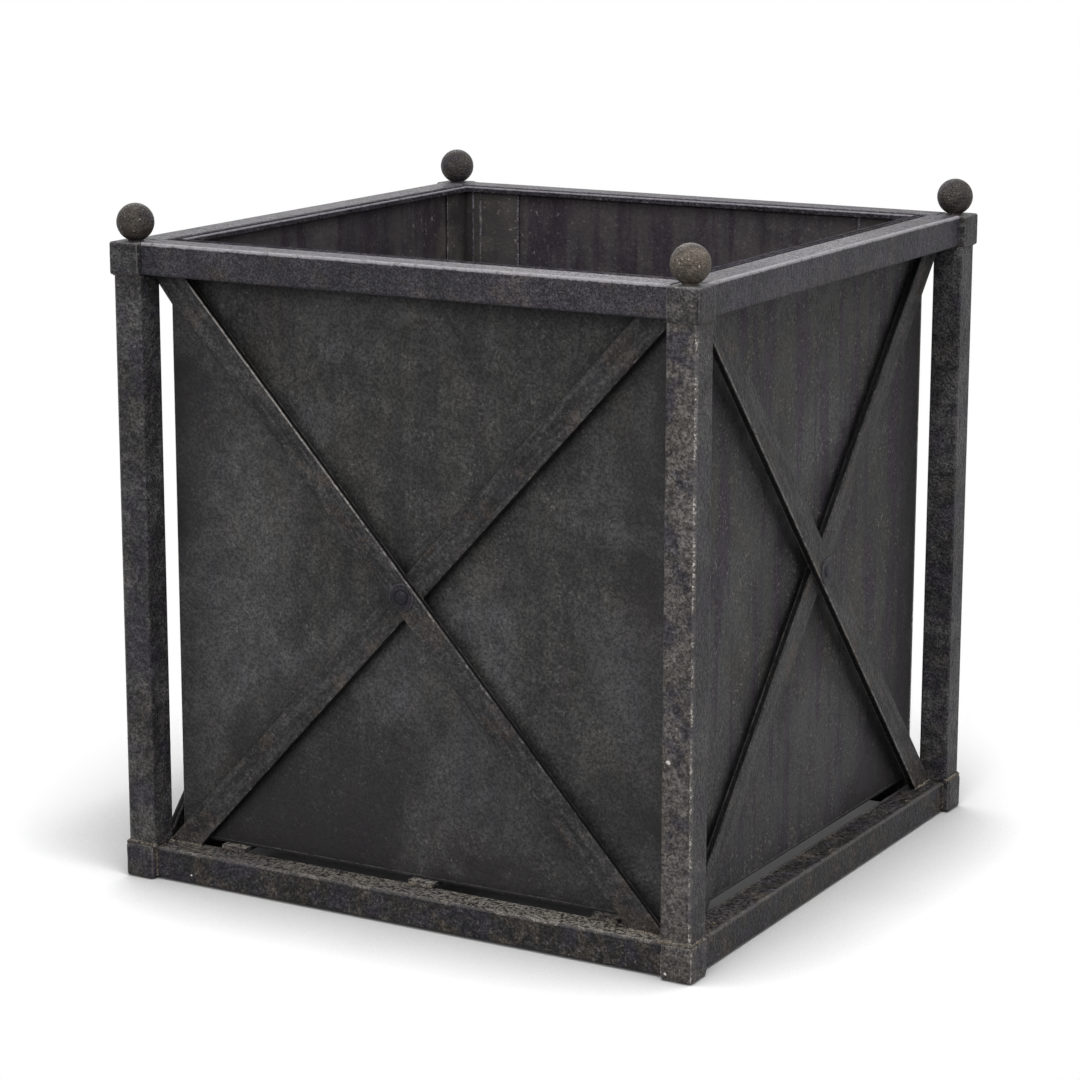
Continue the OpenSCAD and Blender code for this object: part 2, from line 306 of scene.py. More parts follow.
steelLook = {  # colours, amounts from 0 to 1, and the widths of noise features in mm
    "base": "#343334", "pale": "#474647", "stain": "#5f5a55", "stainAmount": 0.6,
    "cool": "#37333b", "coolAmount": 0.6, "streak": "#4a4948", "streakAmount": 0.0,
    "lowStain": 0.04, "toneStain": 0.1, "warmLow": 0.35, "toneLift": 1.25, "coolLow": 1.0,
    "lowSpeck": 1.0, "dustLow": 1.0, "speck": "#a29d97", "worn": "#8b8784",
    # the gap colour is painted shade, on the bars' side faces and in the groove round each
    # rivet's dome
    "chip": "#e8e4de", "gap": "#100f11", "dust": "#6e6b6d", "blotchSize": 60,
    "stainSize": 28, "mottleSize": 7, "grainSize": 2.0, "speckSize": 2.2, "streakSize": 12,
    "wearSize": 5, "reliefSize": 4.5, "mottleAmount": 0.28, "grainAmount": 0.55,
    "speckFrom": 0.56, "speckAmount": 0.5, "wearAmount": 0.2, "chipAmount": 0.75,
    "dustAmount": 0.5, "topRough": 0.75, "roughLow": 0.38, "roughHigh": 0.6, "bump": 0.6,
    "specular": 0.12, "topSpecular": 0.04, "chipSpots": (),  # each chip: place and radius
}
flatLook = dict(steelLook, warmLow=1.0, toneLift=1.0)
weldLook = dict(
    steelLook, base="#4a453f", pale="#6b645a", stain="#7d7466", speck="#d8d2c8",
    speckAmount=0.8, speckFrom=0.52, speckSize=1.6, blotchSize=25, stainSize=12,
    mottleSize=4, grainSize=1.2, reliefSize=1.6)
frameSteel = steelSurface(
    "weathered charcoal steel tube", steelLook, stainAmount=0.5,
    chipSpots=(((0.2335, -0.2533, 0.1665), 0.0022), ((0.2337, -0.2558, 0.006), 0.0013)))
railSteel = steelSurface(
    "dark violet-grey steel rail", flatLook, base="#323135", pale="#403e43", stain="#544c47",
    stainAmount=0.4, worn="#a3a0a4", dust="#827f83", wearAmount=0.75, coolAmount=0.8,
    dustAmount=0.85, dustLow=0.12, chipAmount=0.0, toneStain=0.0, mottleSize=5,
    mottleAmount=0.19, speckAmount=0.2, grainSize=1.5)
lowRailSteel = steelSurface(
    "dark grey steel base rail", flatLook, base="#2a2a2a", pale="#353435", stain="#504841",
    lowStain=0.0, dust="#8d8880", dustAmount=0.95, dustLow=0.05, grainSize=2.6,
    chipAmount=0.3, toneStain=0.05, chipSpots=(((-0.1949, -0.25, 0.0085), 0.0012),))
barSteel = steelSurface(
    "weathered charcoal flat bar", flatLook, base="#2a2a2b", pale="#383839", stain="#5a4d40",
    stainAmount=0.3, worn="#989490", wearAmount=0.9, lowStain=0.0, coolAmount=0.15,
    toneStain=0.22, streak="#535254", streakAmount=0.45, streakSize=7, mottleAmount=0.22,
    # the bars' faces turned inwards are painted near black: painted shade
    grainAmount=0.4, dustAmount=0.2, inside="#121113", insidePale="#1c1b1d")
# its pale specks are painted glints
ballSteel = steelSurface(
    "pitted cast steel", steelLook, base="#2e2a29", pale="#3d3936", stain="#5a5249",
    speck="#d6d0c6", speckAmount=0.8, speckFrom=0.64, mottleSize=5, mottleAmount=0.25,
    grainSize=1.4, grainAmount=0.4, reliefSize=2.2, bump=0.9, toneStain=0.14, toneLift=1.35,
    dustAmount=0.0, roughLow=0.34, roughHigh=0.55, specular=0.14, topSpecular=0.14)
weldSteel = steelSurface("dull weld bead", weldLook)
rivetSteel = steelSurface(
    "dark plum-grey steel rivet", steelLook, base="#28272b", pale="#39383c", worn="#66636a",
    stainAmount=0.1, wearAmount=0.4, speckAmount=0.1, grainAmount=0.3, dustAmount=0.0,
    bump=0.3)
linerSheet = steelSurface(
    "weathered charcoal sheet", flatLook, base="#3b3b3b", pale="#4e4e4f", stain="#55504a",
    stainAmount=0.22, cool="#39323c", coolAmount=0.75, coolLow=0.2, streakAmount=0.45,
    streakSize=20, blotchSize=135, stainSize=60, mottleSize=28, toneStain=0.0,
    mottleAmount=0.14, grainAmount=0.38, lowSpeck=2.2, wearAmount=0.6, dustAmount=0.15,
    topRough=1.0, roughLow=0.5, roughHigh=0.7, bump=0.25, crevice=0.014, grime="#2c2a2c",
    # the inside colours paint shade on the walls' inner faces, mottled by damp streaks
    inside="#2c272d", insidePale="#423d40", insideStain="#5a564f")
seamSteel = steelSurface("pale bare seam", weldLook, base="#4b494d", pale="#625f64",
                         stain="#544f4a", bump=0.2)
rimSteel = steelSurface(
    "worn folded sheet edge", steelLook, base="#262428", pale="#323035", worn="#8d8a91",
    stainAmount=0.5, wearAmount=0.7, dustAmount=0.0, mottleAmount=0.2, roughLow=0.4,
    bump=0.25, specular=0.05, topSpecular=0.0)
print("materials made")


# mesh helpers; wear says how worn a point is, a negative wear being painted shade; tone how
# brown, or on a rail how much dust and painted sheen; lay which way its streaks run


def addObject(name, data):
    item = bpy.data.objects.new(name, data)
    bpy.context.scene.collection.objects.link(item)
    return item


def makePiece(name, points, faces, wear, material, sharpAngle=35, tone=0.0, lay=None):
    mesh = bpy.data.meshes.new(name)
    mesh.from_pydata([tuple(point) for point in points], [], faces)
    mesh.validate()
    shape = bmesh.new()
    shape.from_mesh(mesh)
    caps = [face for face in shape.faces if len(face.verts) > 4]
    bmesh.ops.triangulate(shape, faces=caps, ngon_method="BEAUTY")
    shape.to_mesh(mesh)
    shape.free()
    tones = tone if isinstance(tone, list) else [tone] * len(points)
    places = [value for point in lay or points for value in point]
    for mark, kind, field, values in (("wear", "FLOAT", "value", wear),
                                      ("tone", "FLOAT", "value", tones),
                                      ("lay", "FLOAT_VECTOR", "vector", places)):
        mesh.attributes.new(mark, kind, "POINT").data.foreach_set(field, values)
    mesh.shade_smooth()
    mesh.set_sharp_from_angle(angle=math.radians(sharpAngle))
    mesh.materials.append(material)
    return addObject(name, mesh)


def outIn(box, axis, sign):  # a box's outer and inner end, seen from the middle
    low, high = box
    return (high[axis], low[axis]) if sign > 0 else (low[axis], high[axis])


def finishPiece(piece, body, node):
    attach(piece, body)
    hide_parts(node)


def sectionPoints(width, height, radii, fade, worn=(1, 1, 1, 1)):
    points = []  # each one is (x, y, outward x, outward y, wear)
    middle = (width / 2, height / 2)
    for index, (sx, sy) in enumerate(((1, 1), (-1, 1), (-1, -1), (1, -1))):
        radius = radii[index]
        centre = (sx * (middle[0] - radius), sy * (middle[1] - radius))
        steps = 5
        for step in range(steps + 1):
            angle = math.radians(90 * (index + step / steps))
            out = (math.cos(angle), math.sin(angle))
            points.append((centre[0] + radius * out[0], centre[1] + radius * out[1],
                           out[0], out[1], worn[index]))
        length = height if index in (1, 3) else width
        nextRadius = radii[(index + 1) % 4]
        flat = length - radius - nextRadius
        angle = math.radians(90 * (index + 1))
        along = (math.cos(angle + math.pi / 2), math.sin(angle + math.pi / 2))
        out = (math.cos(angle), math.sin(angle))
        start = (centre[0] + radius * out[0], centre[1] + radius * out[1])
        band = min(fade, flat * 0.3)
        after = worn[(index + 1) % 4]
        for distance, wear in ((band * 0.35, 0.55 * worn[index]), (band, 0.0), (flat / 2, 0.0),
                               (flat - band, 0.0), (flat - band * 0.35, 0.55 * after)):
            points.append((start[0] + along[0] * distance, start[1] + along[1] * distance,
                           out[0], out[1], wear))
    return points


def ringFaces(rows, count):  # quads between closed rows of points, and a cap at each end
    faces = []
    for row in range(rows - 1):
        for index in range(count):
            after = (index + 1) % count
            faces.append((row * count + index, row * count + after,
                          (row + 1) * count + after, (row + 1) * count + index))
    faces.append(tuple(reversed(range(count))))
    faces.append(tuple(range((rows - 1) * count, rows * count)))
    return faces


def stationList(half, step):
    count = max(4, round(2 * half / step))
    return [-1, -1 + 0.004] + [-1 + 2 * i / count for i in range(1, count)] + [1 - 0.004, 1]


def sweepPiece(name, low, high, radii, material, mitre=0.0, fade=0.0025, wobble=0.0001,
               step=0.012, tone=0.0, worn=(1, 1, 1, 1)):
    low = Vector(low)
    high = Vector(high)
    centre = (low + high) / 2
    half = (high - low) / 2
    axis = max(range(3), key=lambda k: half[k])
    first, second = ((1, 2), (0, 2), (0, 1))[axis]
    section = sectionPoints(2 * half[first], 2 * half[second], radii, fade, worn)
    stations = stationList(half[axis], step)
    points = []
    wear = []
    tones = []
    for t in stations:
        for x, y, outX, outY, amount in section:
            point = Vector()
            point[first] = centre[first] + x
            point[second] = centre[second] + y
            reach = half[axis]
            if mitre:
                reach = min(reach, abs(point[first]) - mitre)
            point[axis] = centre[axis] + t * reach
            push = wobble * (0.5 + 0.5 * noise.noise(point * 30))
            point[first] -= outX * push
            point[second] -= outY * push
            points.append(point)
            wear.append(amount)
            tones.append(tone(point, outX, outY) if callable(tone) else tone)
    faces = ringFaces(len(stations), len(section))
    if axis == 1:
        faces = [tuple(reversed(face)) for face in faces]
    return makePiece(name, points, faces, wear, material, tone=tones)


def latheRows(rows, segments, jitter, place):
    points = []
    wear = []
    for radius, height, amount in rows:
        for index in range(segments):
            angle = 2 * math.pi * index / segments
            local = Vector((radius * math.cos(angle), radius * math.sin(angle), height))
            shift = jitter * (0.5 + 0.5 * noise.noise(local * 400 + Vector((3, 7, 1))))
            if radius > shift:
                local.x *= 1 - shift / radius
                local.y *= 1 - shift / radius
            points.append(place @ local)
            wear.append(amount)
    return points, ringFaces(len(rows), segments), wear


# seams to be welded, each with the name of its bead's radius

weldSizes = {"footRadius": 0.0019, "sideRadius": 0.0013, "barRadius": 0.0015,
             "barTopRadius": 0.0009, "strapRadius": 0.002, "capRadius": 0.0006,
             "spacing": 0.0011, "jitter": 0.3, "seed": 11,
             "spatter": 16, "spatterFrom": 0.224, "spatterReach": 0.07,
             "spatterInset": 0.003, "spatterBand": 0.011, "spatterRadius": 0.0011}
seams = []


def addSeam(path, radius):
    seams.append(([Vector(point) for point in path], weldSizes[radius]))


# posts and rails

tubeSizes = {"edgeRadius": 0.0018, "wearBand": 0.003, "mitreGap": 0.0002}

tubeRadii = [tubeSizes["edgeRadius"]] * 4
for corner, place in corners.items():
    node = "post_" + corner
    low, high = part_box(node)
    outer = ((1, 1), (-1, 1), (-1, -1), (1, -1)).index(place)
    worn = [1.0 if index == outer else 0.3 for index in range(4)]
    brown = cornerTone[corner]
    piece = sweepPiece("post." + corner, low, high, tubeRadii, frameSteel,
                       fade=tubeSizes["wearBand"], worn=worn,
                       tone=lambda point, outX, outY: brown * (0.1 + 0.9 * outY ** 2))
    finishPiece(piece, "frame", node)
topTone = {  # how much dust and painted sheen each rail's top shows at its start, middle and end, along +X or +Y
    "front": (0.08, 0.35, 1.0), "right": (0.3, 0.8, 0.1), "back": (0.2, 0.2, 0.2),
    "left": (0.3, 0.4, 0.5)}
# the base rails' ledges likewise: dust, with the right ledge kept dark as painted shade
lowTone = {"front": (0.35, 0.55, 0.9), "right": (0.3, 0.0, 0.0), "back": (0.3, 0.3, 0.3),
           "left": (0.3, 0.3, 0.3)}


def ledgeTone(side, level):
    start, middle, end = (topTone if level == "top" else lowTone)[side]
    axis = 0 if side in ("front", "back") else 1

    def tone(point, outX, outY):
        t = min(1.0, abs(point[axis]) / 0.2)
        return middle + ((start if point[axis] < 0 else end) - middle) * t * t * (3 - 2 * t)

    return tone


for side in sides:
    for level in ("top", "low"):
        node = level + "_rail_" + side
        inner = 2.5 if node == "low_rail_right" else 0.6  # wear of its inner top edge; on the right base rail the 2.5 is also a painted highlight for light through the gap
        low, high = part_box(node)
        steel = railSteel if level == "top" else lowRailSteel
        piece = sweepPiece(level + "Rail." + side, low, high, tubeRadii, steel,
                           mitre=tubeSizes["mitreGap"], fade=tubeSizes["wearBand"],
                           worn=(inner, 1, 0.3, 0.3) if side in ("front", "left") else
                           (1, inner, 0.3, 0.3), tone=ledgeTone(side, level))
        finishPiece(piece, "frame", node)
print("tubes built")

# caps and feet

blockSizes = {"spigot": 0.014, "capRadius": 0.002, "footRadius": 0.003, "divisions": 14,
              "capDent": 0.0002, "footDent": 0.0006}


def blockPiece(name, low, high, radius, dent, tone):
    count = blockSizes["divisions"]
    low = Vector(low)
    high = Vector(high)
    centre = (low + high) / 2
    half = (high - low) / 2
    marks = [-1 + 2 * i / count for i in range(count + 1)]
    points = []
    faces = []
    wear = []
    lookup = {}

    def corner(u, v, axis, sign):
        raw = Vector()
        raw[axis] = sign * half[axis]
        raw[(axis + 1) % 3] = u * half[(axis + 1) % 3]
        raw[(axis + 2) % 3] = v * half[(axis + 2) % 3]
        inner = Vector([max(-half[k] + radius, min(half[k] - radius, raw[k])) for k in range(3)])
        away = raw - inner
        outside = sum(1 for k in range(3) if abs(away[k]) > radius * 0.15)
        place = inner + away.normalized() * radius
        push = 0.5 + 0.5 * noise.noise((place + centre) * 110)
        place -= away.normalized() * push * dent
        key = tuple(round(value * 1e6) for value in raw)
        if key not in lookup:
            lookup[key] = len(points)
            points.append(centre + place)
            wear.append(1.0 if outside > 1 else 0.0)
        return lookup[key]

    def gridMarks(axis):
        rim = 1 - radius / half[axis]
        return sorted(set([-1, -1 + (1 - rim) * 0.3, -rim, rim, 1 - (1 - rim) * 0.3, 1]
                          + [mark for mark in marks if abs(mark) < rim - 0.02]))

    for axis in range(3):
        rows = gridMarks((axis + 1) % 3)
        lines = gridMarks((axis + 2) % 3)
        for sign in (-1, 1):
            for i in range(len(rows) - 1):
                for j in range(len(lines) - 1):
                    quad = [corner(rows[i + a], lines[j + b], axis, sign)
                            for a, b in ((0, 0), (1, 0), (1, 1), (0, 1))]
                    faces.append(tuple(quad if sign > 0 else reversed(quad)))
    return makePiece(name, points, faces, wear, frameSteel, 50, tone)


railFace = abs(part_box("low_rail_front")[0][1])
for corner, (signX, signY) in corners.items():
    for kind, end, tone in (("cap", 0, 0.35), ("foot", 1, 1.0)):
        low, high = [list(point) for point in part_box(kind + "_" + corner)]
        (low, high)[end][2] += blockSizes["spigot"] * (-1) ** end
        piece = blockPiece(kind + "." + corner, low, high, blockSizes[kind + "Radius"],
                           blockSizes[kind + "Dent"], tone * cornerTone[corner])
        finishPiece(piece, "frame", kind + "_" + corner)
    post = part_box("post_" + corner)
    outX, inX = outIn(post, 0, signX)
    outY, inY = outIn(post, 1, signY)
    for level, radius in ((high[2], "footRadius"), (post[1][2], "capRadius")):
        addSeam([(inX, outY, level), (outX, outY, level), (outX, inY, level)], radius)
    for x, y in ((outIn((low, high), 0, signX)[1], signY * railFace),
                 (signX * railFace, outIn((low, high), 1, signY)[1])):
        addSeam([(x, y, 0.004), (x, y, high[2] - 0.004)], "sideRadius")
print("caps and feet built")

# ball finials

ballSizes = {"stud": 0.014, "sink": 0.0005, "collarRadius": 0.0065, "collarHeight": 0.0014,
             "segments": 64, "pits": 0.00022}

for corner in corners:
    low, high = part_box("finial_" + corner)
    base = low[2] + ballSizes["stud"]
    radius = (high[2] - base + ballSizes["sink"]) / 2
    middle = radius - ballSizes["sink"]
    rows = [(0.0002, 0.0, 0.0), (ballSizes["collarRadius"], 0.0, 0.6),
            (ballSizes["collarRadius"] - 0.0004, 0.0008, 0.8)]
    start = math.asin((ballSizes["collarHeight"] - middle) / radius)
    for index in range(37):
        angle = start + (math.pi / 2 - start) * index / 36
        rows.append((max(radius * math.cos(angle), 0.0002), middle + radius * math.sin(angle),
                     0.0))
    place = Matrix.Translation(((low[0] + high[0]) / 2, (low[1] + high[1]) / 2, base))
    points, faces, wear = latheRows(rows, ballSizes["segments"], ballSizes["pits"], place)
    piece = makePiece("ball." + corner, points, faces, wear, ballSteel, 60, ballTone[corner])
    finishPiece(piece, "frame", "finial_" + corner)
print("balls built")

# crossed bars and straps

barSizes = {"edge": (0.0008, 0.0022, 0.0003), "step": 0.01}  # edge: radius, worn band, wobble


def hullOutline(flat):
    flat = sorted(set((round(x, 6), round(y, 6)) for x, y in flat))

    def half(sequence):
        chain = []
        for point in sequence:
            while len(chain) > 1:
                ax = chain[-1][0] - chain[-2][0]
                ay = chain[-1][1] - chain[-2][1]
                bx = point[0] - chain[-2][0]
                by = point[1] - chain[-2][1]
                if ax * by - ay * bx > 1e-9:
                    break
                chain.pop()
            chain.append(point)
        return chain[:-1]

    return half(flat) + half(flat[::-1])


def insetOutline(outline, distance):
    count = len(outline)
    lines = []
    for index in range(count):
        ax, ay = outline[index]
        bx, by = outline[(index + 1) % count]
        length = math.hypot(bx - ax, by - ay)
        nx, ny = -(by - ay) / length, (bx - ax) / length
        lines.append((nx, ny, nx * ax + ny * ay + distance))
    result = []
    for index in range(count):
        a1, b1, c1 = lines[index - 1]
        a2, b2, c2 = lines[index]
        det = a1 * b2 - a2 * b1
        result.append(((c1 * b2 - c2 * b1) / det, (a1 * c2 - a2 * c1) / det))
    return result


def platePiece(name, outline, depths, place, material, edge, worn=(0, 0, 1, 1), sideWear=0.2):
    radius, band, wobble = edge
    count = len(outline)
    pieces = [max(1, round(math.dist(outline[i], outline[(i + 1) % count]) / barSizes["step"]))
              for i in range(count)]
    back, front = depths
    bevel = [(radius + band, 0, 0.0), (radius + band * 0.35, 0, 0.55), (radius, 0, 1.0),
             (radius * 0.3, radius * 0.3, 1.0), (0, radius, 1.0),
             (0, radius + band * 0.5, sideWear)]  # inset, depth below the face, wear (a negative wear is painted shade)
    loops = [(inset, back + depth, amount) for inset, depth, amount in bevel]
    loops += [(inset, front - depth, amount) for inset, depth, amount in reversed(bevel)]
    points = []
    wear = []
    tones = []
    lay = []
    foot = min(y for x, y in outline)
    tall = max(y for x, y in outline) - foot
    start = max(range(count), key=lambda i: math.dist(outline[i], outline[(i + 1) % count]))
    along = Vector(outline[(start + 1) % count]) - Vector(outline[start])
    along.normalize()
    upright = abs(front - back) > tall
    for inset, depth, amount in loops:
        ring = insetOutline(outline, inset)
        for index in range(count):
            ax, ay = ring[index]
            bx, by = ring[(index + 1) % count]
            for step in range(pieces[index]):
                t = step / pieces[index]
                x, y = ax + (bx - ax) * t, ay + (by - ay) * t
                length = math.hypot(bx - ax, by - ay)
                nx, ny = -(by - ay) / length, (bx - ax) / length
                push = wobble * (0.5 + 0.5 * noise.noise(Vector((x * 45, y * 45, index))))
                push *= min(1.0, 8 * t * (1 - t))
                point = Vector((x + nx * push, y + ny * push, depth))
                points.append(place @ point)
                lay.append(points[-1] if upright else
                           (point.dot((-along.y, along.x, 0)), depth, point.dot((*along, 0))))
                rise = (y - foot) / tall
                share = worn[3] + (1 - worn[3]) * rise
                share *= min(1.0, max(0.0, worn[2] - nx * worn[0] - ny * worn[1]))
                wear.append(amount * share if amount > 0 else amount)
                tones.append(0.0 if upright else max(0.0, 1 - (y - foot) / 0.02))
    faces = ringFaces(len(loops), sum(pieces))
    return makePiece(name, points, faces, wear, material, tone=tones, lay=lay)


def sideMatrix(turn):  # local x runs along the side, y is up and z points outwards
    upright = Matrix(((1, 0, 0, 0), (0, 0, -1, 0), (0, 1, 0, 0), (0, 0, 0, 1)))
    return Matrix.Rotation(math.radians(turn), 4, "Z") @ upright


def localPoints(node, place):
    back = place.inverted()
    return [back @ vertex.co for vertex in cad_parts[node].data.vertices]


wornSides = {  # which edges are worn: towards x, towards y, all round, and how much at the foot
    "foreSide": (0.7, 0.3, 0.3, 0.5), "rearSide": (0.4, -0.2, 0.2, 1.0),
    "foreFlank": (-0.6, -0.2, 0.3, 1.0), "rearFlank": (0.3, -0.2, 0.3, 0.4)}
for layer in ("fore", "rear"):
    for side, turn in sides.items():
        worn = wornSides[layer + ("Side" if turn in (0, 180) else "Flank")]
        node = "bar_" + layer + "_" + side
        place = sideMatrix(turn)
        local = localPoints(node, place)
        outline = hullOutline([(point.x, point.y) for point in local])
        outline = [point for index, point in enumerate(outline)
                   if math.dist(point, outline[index - 1]) > 0.002]
        depths = (min(point.z for point in local), max(point.z for point in local))
        piece = platePiece(layer + "Bar." + side, outline, depths, place, barSteel,
                           # a wear of -1 paints the bars' side faces with the gap colour: painted
                           # shade
                           barSizes["edge"], worn, -1.0)
        finishPiece(piece, "frame", node)
        for level, radius in ((min(y for x, y in outline), "barRadius"),
                              (max(y for x, y in outline), "barTopRadius")):
            ends = [x for x, y in outline if abs(y - level) < 0.0005]
            addSeam([place @ Vector((x, level, depths[1])) for x in (min(ends), max(ends))],
                    radius)
for name in ("left", "middle", "right"):
    node = "strap_" + name
    low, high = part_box(node)
    outline = [(low[0], low[1]), (high[0], low[1]), (high[0], high[1]), (low[0], high[1])]
    piece = platePiece("strap." + name, outline, (low[2], high[2]), Matrix.Identity(4),
                       lowRailSteel, barSizes["edge"], (0, 0, 0.4, 1))
    finishPiece(piece, "frame", node)
    for y in (low[1], high[1]):
        addSeam([(low[0] + 0.002, y, low[2] + 0.001), (high[0] - 0.002, y, low[2] + 0.001)],
                "strapRadius")
print("bars and straps built")

# rivets at the crossings

rivetSizes = {"discRadius": 0.011, "discThick": 0.001, "domeRadius": 0.005,
              "domeHeight": 0.0014, "stack": 0.0128, "tailRadius": 0.0045,
              "tailHeight": 0.0008}

points = []
faces = []
wear = []
for side, turn in sides.items():
    place = sideMatrix(turn)
    local = [point for point in localPoints("cross_rivets", place) if point.z > 0.2]
    xs = [point.x for point in local]
    ys = [point.y for point in local]
    tail = min(point.z for point in local)
    face = tail + rivetSizes["tailHeight"] + rivetSizes["stack"]
    centre = Vector(((min(xs) + max(xs)) / 2, (min(ys) + max(ys)) / 2, 0))
    disc = rivetSizes["discRadius"]
    thick = rivetSizes["discThick"]
    dome = rivetSizes["domeRadius"]
    rows = [(0.0002, tail, 0.0), (rivetSizes["tailRadius"], tail, 0.5),
            (rivetSizes["tailRadius"], face - 0.001, 0.0), (disc - 0.0002, face, 0.0),
            (disc, face + 0.0002, 0.4), (disc - 0.0001, face + thick * 0.6, 0.8),
            (disc - 0.0006, face + thick, 1.0), (disc - 0.0018, face + thick, 0.3),
            # these two rows have negative wear: a painted shade ring in the groove at the dome's
            # foot
            (dome + 0.0012, face + thick * 0.9, -0.6), (dome + 0.0002, face + thick * 0.75, -0.9)]
    for index in range(9):
        angle = math.pi / 2 * index / 8
        rows.append((max(dome * math.cos(angle), 0.0002),
                     face + thick + rivetSizes["domeHeight"] * math.sin(angle), 0.3))
    place = place @ Matrix.Translation(centre)
    newPoints, newFaces, newWear = latheRows(rows, 40, 0.0001, place)
    faces += [tuple(index + len(points) for index in face) for face in newFaces]
    points += newPoints
    wear += newWear
piece = makePiece("crossRivets", points, faces, wear, rivetSteel, 40)
finishPiece(piece, "frame", "cross_rivets")
print("rivets built")

# weld beads: overlapping lumps along every seam, and spatter near the corners


def weldTree():
    tree = bpy.data.node_groups.new("weldBead", "GeometryNodeTree")
    for name, kind in (("Seams", "NodeSocketGeometry"), ("Spacing", "NodeSocketFloat"),
                       ("Jitter", "NodeSocketFloat"), ("Seed", "NodeSocketInt"),
                       ("Finish", "NodeSocketMaterial")):
        tree.interface.new_socket(name, in_out="INPUT", socket_type=kind)
    tree.interface.new_socket("Beads", in_out="OUTPUT", socket_type="NodeSocketGeometry")
    inputs = addNode(tree, "NodeGroupInput").outputs
    radius = addNode(tree, "GeometryNodeInputNamedAttribute", {"Name": "beadRadius"})
    curve = addNode(tree, "GeometryNodeMeshToCurve", {"Mesh": inputs["Seams"]})
    line = addNode(tree, "GeometryNodeResampleCurve", {
        "mode": "LENGTH", "Curve": curve, "Length": inputs["Spacing"]})
    shift, size = [addNode(tree, "FunctionNodeRandomValue", {
        "data_type": "FLOAT_VECTOR", 0: (low,) * 3, 1: (high,) * 3, "Seed": inputs["Seed"]})
                   for low, high in ((-1, 1), (0.75, 1.15))]
    offset, scale = [addNode(tree, "ShaderNodeVectorMath", {
        "operation": "SCALE", 0: vector, "Scale": amount})
                     for vector, amount in ((shift, addProduct(tree, radius, inputs["Jitter"])),
                                            (size, radius))]
    points = addNode(tree, "GeometryNodeSetPosition", {"Geometry": line, "Offset": offset})
    lump = addNode(tree, "GeometryNodeMeshIcoSphere", {"Radius": 1.0, "Subdivisions": 2})
    placed = addNode(tree, "GeometryNodeInstanceOnPoints", {
        "Points": points, "Instance": lump, "Rotation": shift, "Scale": scale})
    real = addNode(tree, "GeometryNodeRealizeInstances", {0: placed})
    smooth = addNode(tree, "GeometryNodeSetShadeSmooth", {"Geometry": real})
    finish = addNode(tree, "GeometryNodeSetMaterial", {
        "Geometry": smooth, "Material": inputs["Finish"]})
    addNode(tree, "NodeGroupOutput", {0: finish})
    return tree


def beadPiece(name, lines, material):
    points = []
    edges = []
    radii = []
    for path, radius in lines:
        edges += [(len(points) + i, len(points) + i + 1) for i in range(len(path) - 1)]
        points += path
        radii += [radius] * len(path)
    mesh = bpy.data.meshes.new(name + ".seams")
    mesh.from_pydata([tuple(point) for point in points], edges, [])
    mesh.attributes.new("beadRadius", "FLOAT", "POINT").data.foreach_set("value", radii)
    source = addObject(name + ".seams", mesh)
    tree = weldTree()
    modifier = source.modifiers.new("beads", "NODES")
    modifier.node_group = tree
    values = {"Spacing": weldSizes["spacing"], "Jitter": weldSizes["jitter"],
              "Seed": weldSizes["seed"], "Finish": material}
    for item in tree.interface.items_tree:
        if item.in_out == "INPUT" and item.name in values:
            modifier[item.identifier] = values[item.name]
    bpy.context.view_layer.update()
    evaluated = source.evaluated_get(bpy.context.evaluated_depsgraph_get())
    result = bpy.data.meshes.new_from_object(evaluated)
    source.modifiers.remove(modifier)
    bpy.data.objects.remove(source)
    return addObject(name, result)


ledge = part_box("low_rail_front")[1][2]
for side, turn in sides.items():
    for index in range(weldSizes["spatter"]):
        along = weldSizes["spatterFrom"]
        along = random.choice((-1, 1)) * (along - random.random() * weldSizes["spatterReach"])
        across = railFace - weldSizes["spatterInset"] - random.random() * weldSizes["spatterBand"]
        spot = Matrix.Rotation(math.radians(turn), 4, "Z") @ Vector((along, -across, ledge))
        size = weldSizes["spatterRadius"] * random.uniform(0.4, 1.0)
        seams.append(([spot, spot + Vector((0.0006, 0.0004, 0))], size))
piece = beadPiece("weldBeads", seams, weldSteel)
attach(piece, "frame")
print("weld beads built")

# liner

linerSizes = {"sheetStep": 0.02, "buckle": 0.0004, "edgeBand": 0.002, "rimTopRadius": 0.0012,
              "rimLowRadius": 0.0006, "rimGap": 0.0002, "angleThick": 0.0015,
              "angleEdge": (0.0003, 0.0003, 0.00005), "seamSteps": 90, "seamWall": 0.2179,
              "seamPlaces": (0.0075, 0.015, 0.0535, -0.0315),  # minus is on the side walls
              "seamWidth": 0.0009, "seamWander": 0.0004, "seamRise": 0.0005}


